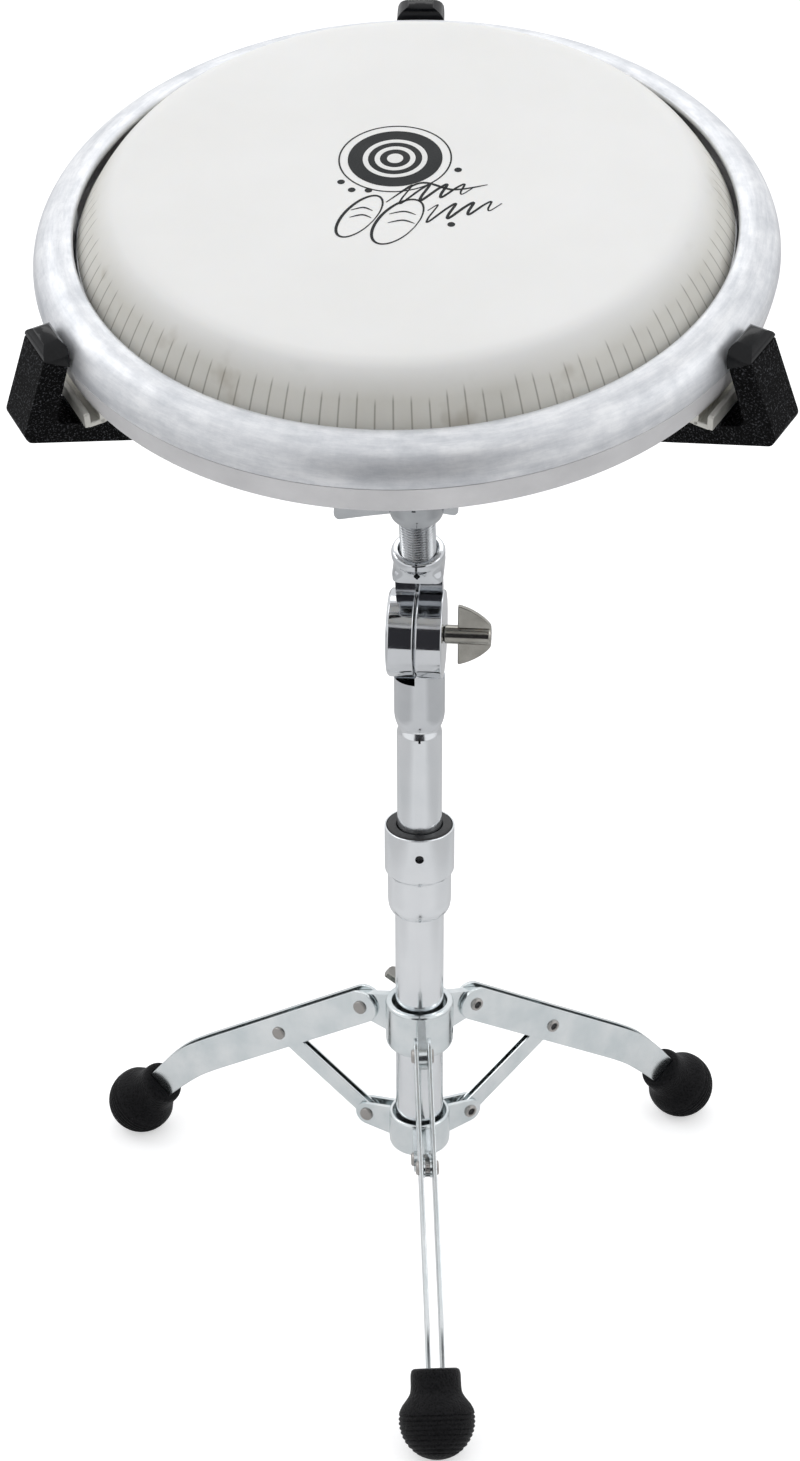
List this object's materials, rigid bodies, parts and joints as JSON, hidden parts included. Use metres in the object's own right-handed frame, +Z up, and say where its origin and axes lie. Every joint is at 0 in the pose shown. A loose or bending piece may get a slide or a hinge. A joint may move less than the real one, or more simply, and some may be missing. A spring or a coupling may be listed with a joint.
{
  "type": "practice pad drum on a tripod stand",
  "caption": "Shallow practice drum with a synthetic head in a rounded aluminium rim, gripped by a clamping cradle on a tilting, height-adjustable folding tripod stand.",
  "frame": {"origin": "on the floor, below the middle of the object's box", "axes": "+Z up along the column, +X to the right as seen by the player's opposite, -Y to the front where one leg points"},
  "size_m": [0.351, 0.3428, 0.6507],
  "materials": {
    "head_film": "translucent off-white film, satin",
    "rim_aluminium": "polished",
    "frame_aluminium": "matt, as cast",
    "steel_hardware": "plated, plain",
    "arm_black": "fine textured black coating",
    "smooth_black": "semi-gloss black",
    "chrome": "polished chrome plate",
    "zinc": "bright zinc plate",
    "nickel": "nickel plate",
    "rivet_steel": "dull steel",
    "black_rubber": "ribbed, matt"
  },
  "bodies": {
    "stand_base": {"base_tube": "chrome", "base_end_plug": "smooth_black", "lower_leg_bracket": "zinc", "height_collar": "chrome", "collar_bushing": "smooth_black", "rivet_low_front": "rivet_steel", "rivet_low_right": "rivet_steel", "rivet_low_left": "rivet_steel"},
    "sliding_bracket": {"upper_leg_bracket": "zinc", "rivet_top_front": "rivet_steel", "rivet_top_right": "rivet_steel", "rivet_top_left": "rivet_steel"},
    "bracket_screw": {"bracket_wing_screw": "nickel"},
    "height_screw": {"height_wing_screw": "nickel"},
    "upper_column": {"upper_tube": "chrome", "tilter_lower": "chrome"},
    "tilter_screw": {"tilter_wing_screw": "nickel"},
    "tilted_head": {"tilter_upper": "chrome", "threaded_rod": "chrome", "cradle_hub": "arm_black", "arm_pin_back": "steel_hardware", "arm_pin_left": "steel_hardware", "arm_pin_right": "steel_hardware", "lower_frame": "frame_aluminium", "shell_ring": "frame_aluminium", "flesh_hoop": "steel_hardware", "rim": "rim_aluminium", "drum_head": "head_film", "tension_bolt_1": "steel_hardware", "tension_bolt_2": "steel_hardware", "tension_bolt_3": "steel_hardware", "tension_bolt_4": "steel_hardware", "tension_bolt_5": "steel_hardware", "tension_bolt_6": "steel_hardware"},
    "cradle_nut": {"cradle_wing_nut": "chrome"},
    "arm_back": {"cradle_arm_back": "arm_black", "arm_cap_back": "smooth_black"},
    "arm_left": {"cradle_arm_left": "arm_black", "arm_cap_left": "smooth_black"},
    "arm_right": {"cradle_arm_right": "arm_black", "arm_cap_right": "smooth_black"},
    "leg_front": {"leg_plate_front_a": "zinc", "leg_plate_front_b": "zinc", "rubber_foot_front": "black_rubber", "rivet_mid_front": "rivet_steel"},
    "strut_front": {"leg_strut_front": "zinc"},
    "leg_right": {"leg_plate_right_a": "zinc", "leg_plate_right_b": "zinc", "rubber_foot_right": "black_rubber", "rivet_mid_right": "rivet_steel"},
    "strut_right": {"leg_strut_right": "zinc"},
    "leg_left": {"leg_plate_left_a": "zinc", "leg_plate_left_b": "zinc", "rubber_foot_left": "black_rubber", "rivet_mid_left": "rivet_steel"},
    "strut_left": {"leg_strut_left": "zinc"}
  },
  "joints": [
    {"name": "bracket_slide", "type": "slide", "parent": "stand_base", "child": "sliding_bracket", "axis": [0, 0, 1], "range_m": [0, 0.03]},
    {"name": "height_slide", "type": "slide", "parent": "stand_base", "child": "upper_column", "axis": [0, 0, 1], "range_m": [-0.045, 0.12]},
    {"name": "tilt", "type": "hinge", "parent": "upper_column", "child": "tilted_head", "pos_m": [0.00434, 0.05456, 0.359], "axis": [0.9961, -0.0877, 0], "range_deg": [-18.8, 45]},
    {"name": "tilter_screw_turn", "type": "hinge", "parent": "upper_column", "child": "tilter_screw", "pos_m": [0.01689, 0.05346, 0.359], "axis": [0.9961, -0.0877, 0], "continuous": true},
    {"name": "height_screw_turn", "type": "hinge", "parent": "stand_base", "child": "height_screw", "pos_m": [0.00434, 0.07276, 0.236], "axis": [0, 1, 0], "continuous": true},
    {"name": "bracket_screw_turn", "type": "hinge", "parent": "sliding_bracket", "child": "bracket_screw", "pos_m": [-0.00101, 0.07775, 0.13], "axis": [-0.225, 0.9744, 0], "continuous": true},
    {"name": "cradle_nut_turn", "type": "hinge", "parent": "tilted_head", "child": "cradle_nut", "pos_m": [0.00294, 0.02719, 0.43946], "axis": [-0.0283, -0.321, 0.9466], "continuous": true},
    {"name": "arm_back_open", "type": "hinge", "parent": "tilted_head", "child": "arm_back", "pos_m": [0.00188, 0.0249, 0.5069], "axis": [-0.9988, 0.0465, -0.0141], "range_deg": [0, 12]},
    {"name": "arm_left_open", "type": "hinge", "parent": "tilted_head", "child": "arm_left", "pos_m": [-0.01614, -0.00199, 0.49724], "axis": [0.4652, -0.8424, -0.2718], "range_deg": [0, 12]},
    {"name": "arm_right_open", "type": "hinge", "parent": "tilted_head", "child": "arm_right", "pos_m": [0.01759, -0.00356, 0.49772], "axis": [0.5336, 0.796, 0.2859], "range_deg": [0, 12]},
    {"name": "leg_front_fold", "type": "hinge", "parent": "sliding_bracket", "child": "leg_front", "pos_m": [0.00594, 0.021, 0.1304], "axis": [0.9989, 0.0475, 0], "range_deg": [0, 18.8]},
    {"name": "strut_front_fold", "type": "hinge", "parent": "stand_base", "child": "strut_front", "pos_m": [0.00578, 0.0243, 0.0613], "axis": [0.9989, 0.0475, 0], "range_deg": [-17.5, 0]},
    {"name": "leg_right_fold", "type": "hinge", "parent": "sliding_bracket", "child": "leg_right", "pos_m": [0.03261, 0.07272, 0.1304], "axis": [-0.5405, 0.8413, 0], "range_deg": [0, 18.8]},
    {"name": "strut_right_fold", "type": "hinge", "parent": "stand_base", "child": "strut_right", "pos_m": [0.02984, 0.07094, 0.0613], "axis": [-0.5405, 0.8413, 0], "range_deg": [-17.5, 0]},
    {"name": "leg_left_fold", "type": "hinge", "parent": "sliding_bracket", "child": "leg_left", "pos_m": [-0.02552, 0.06996, 0.1304], "axis": [-0.4583, -0.8888, 0], "range_deg": [0, 18.8]},
    {"name": "strut_left_fold", "type": "hinge", "parent": "stand_base", "child": "strut_left", "pos_m": [-0.02259, 0.06845, 0.0613], "axis": [-0.4583, -0.8888, 0], "range_deg": [-17.5, 0]}
  ],
  "couplings": [
    {"joint": "arm_left_open", "follows": "arm_back_open", "ratio": 1},
    {"joint": "arm_right_open", "follows": "arm_back_open", "ratio": 1},
    {"joint": "leg_front_fold", "follows": "bracket_slide", "rad_per_m": 10.927},
    {"joint": "strut_front_fold", "follows": "bracket_slide", "rad_per_m": -10.114},
    {"joint": "leg_right_fold", "follows": "bracket_slide", "rad_per_m": 10.927},
    {"joint": "strut_right_fold", "follows": "bracket_slide", "rad_per_m": -10.114},
    {"joint": "leg_left_fold", "follows": "bracket_slide", "rad_per_m": 10.927},
    {"joint": "strut_left_fold", "follows": "bracket_slide", "rad_per_m": -10.114}
  ]
}
